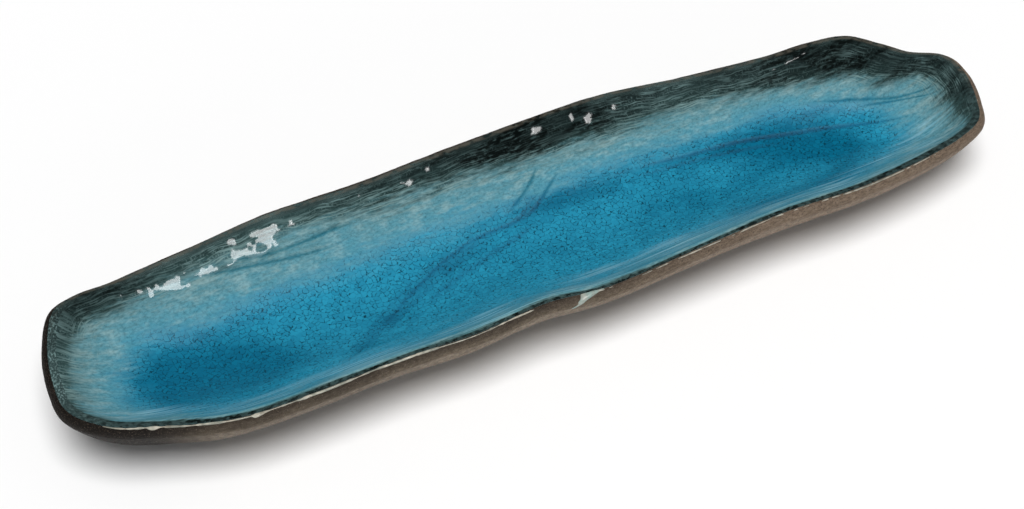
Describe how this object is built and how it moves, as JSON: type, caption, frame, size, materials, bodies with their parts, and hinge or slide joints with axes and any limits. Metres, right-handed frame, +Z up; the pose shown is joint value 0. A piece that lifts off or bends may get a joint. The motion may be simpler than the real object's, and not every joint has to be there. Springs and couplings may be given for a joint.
{
  "type": "long serving plate",
  "caption": "Long narrow hand-formed stoneware plate with a wavy lip, turquoise crackle glaze in the well and a dark iron-glazed rim, for serving food.",
  "frame": {"origin": "middle of the plate's outline seen from above, on the table under the foot", "axes": "+X along the plate towards the end whose far corner is cut off, +Y across the plate away from the side with the glaze dribble, +Z up out of the well"},
  "size_m": [0.401, 0.0974, 0.0336],
  "materials": {
    "clay": "matte",
    "foot_clay": "matte",
    "turquoise": "gloss",
    "celadon": "gloss",
    "iron": "gloss",
    "bead": "satin",
    "run": "gloss"
  },
  "bodies": {
    "root": {"stoneware_body": "clay", "foot_ring": "foot_clay", "turquoise_glaze": "turquoise", "celadon_glaze": "celadon", "iron_rim_glaze": "iron", "pale_lip_bead": "bead", "glaze_run": "run"}
  },
  "joints": []
}
